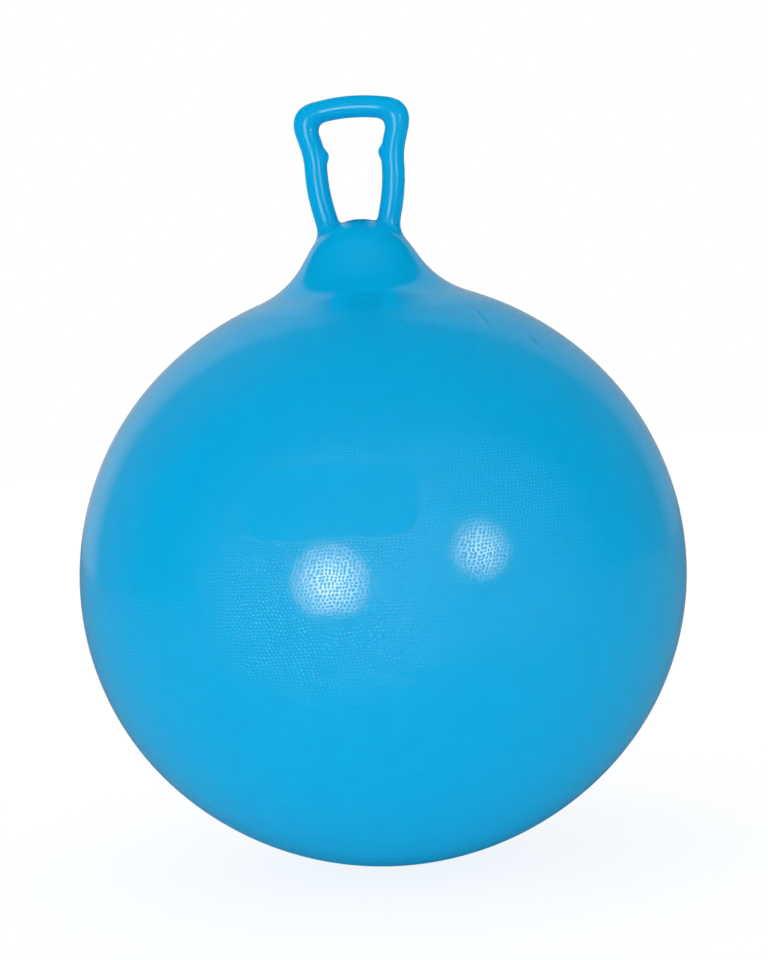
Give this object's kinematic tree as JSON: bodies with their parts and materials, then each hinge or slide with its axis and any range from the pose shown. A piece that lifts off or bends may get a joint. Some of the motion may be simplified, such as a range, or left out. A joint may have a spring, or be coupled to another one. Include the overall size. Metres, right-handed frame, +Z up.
{
  "type": "hopper ball",
  "caption": "Inflated vinyl hopper ball with a smooth domed neck, a closed loop handle anchored in the crown, and a back air valve with a push-in stopper.",
  "frame": {"origin": "centre of the flattened patch that the ball rests on", "axes": "+Z up the ball's axis to the handle, X along the handle's top bar, -Y the front and +Y the back, where the valve is"},
  "size_m": [0.5999, 0.6, 0.7581],
  "materials": {
    "ball_vinyl": "soft blue vinyl, satin, with fine pips on the ball and a smooth neck",
    "handle_vinyl": "smooth blue vinyl, glossy",
    "bush_vinyl": "smooth blue vinyl, satin",
    "stopper_vinyl": "hard white vinyl, semi-gloss"
  },
  "bodies": {
    "ball": {"ball_skin": "ball_vinyl", "loop_handle": "handle_vinyl", "valve_bush": "bush_vinyl"},
    "stopper": {"valve_stopper": "stopper_vinyl"}
  },
  "joints": [
    {"name": "stopper_pull", "type": "slide", "parent": "ball", "child": "stopper", "axis": [0, 0.809, 0.5878], "range_m": [0, 0.03]}
  ]
}
